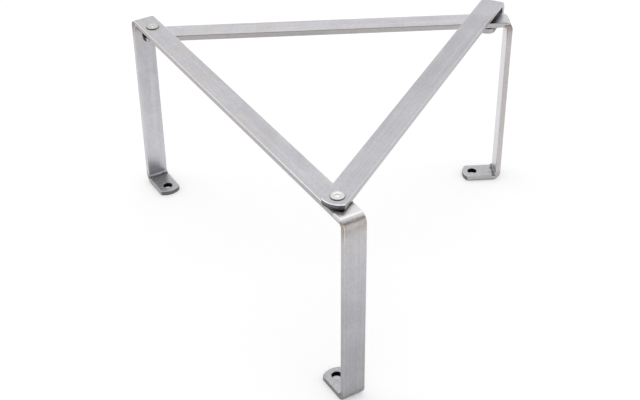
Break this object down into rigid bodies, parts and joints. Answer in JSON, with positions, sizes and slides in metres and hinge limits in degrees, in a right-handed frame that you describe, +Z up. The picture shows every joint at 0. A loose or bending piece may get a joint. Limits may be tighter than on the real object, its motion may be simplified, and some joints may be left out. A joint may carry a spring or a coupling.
{
  "type": "campfire cooking stand",
  "caption": "Folding triangular pot stand of bent flat steel bar on three legs with drilled feet, riveted at two corners and hooked together at the third.",
  "frame": {"origin": "on the floor, under the middle of the stand's bounding box", "axes": "+Z up, +X along the back bar from its rivet to its leg, so the front corner points to -Y"},
  "size_m": [0.3488, 0.337, 0.1863],
  "materials": {
    "bar_steel": "satin, rolled and lightly ground along the bar",
    "rivet_steel": "smooth satin"
  },
  "bodies": {
    "long_bar": {"long_bar": "bar_steel", "back_rivet": "rivet_steel", "front_rivet": "rivet_steel"},
    "back_bar": {"back_bar": "bar_steel"},
    "brace": {"brace": "bar_steel"}
  },
  "joints": [
    {"name": "back_bar_swing", "type": "hinge", "parent": "long_bar", "child": "back_bar", "pos_m": [-0.15407, 0.14148, 0.172], "axis": [0, 0, 1], "range_deg": [-58.5, 0]},
    {"name": "brace_swing", "type": "hinge", "parent": "long_bar", "child": "brace", "pos_m": [-0.00896, -0.14148, 0.183], "axis": [0, 0, 1], "range_deg": [0, 52]}
  ]
}
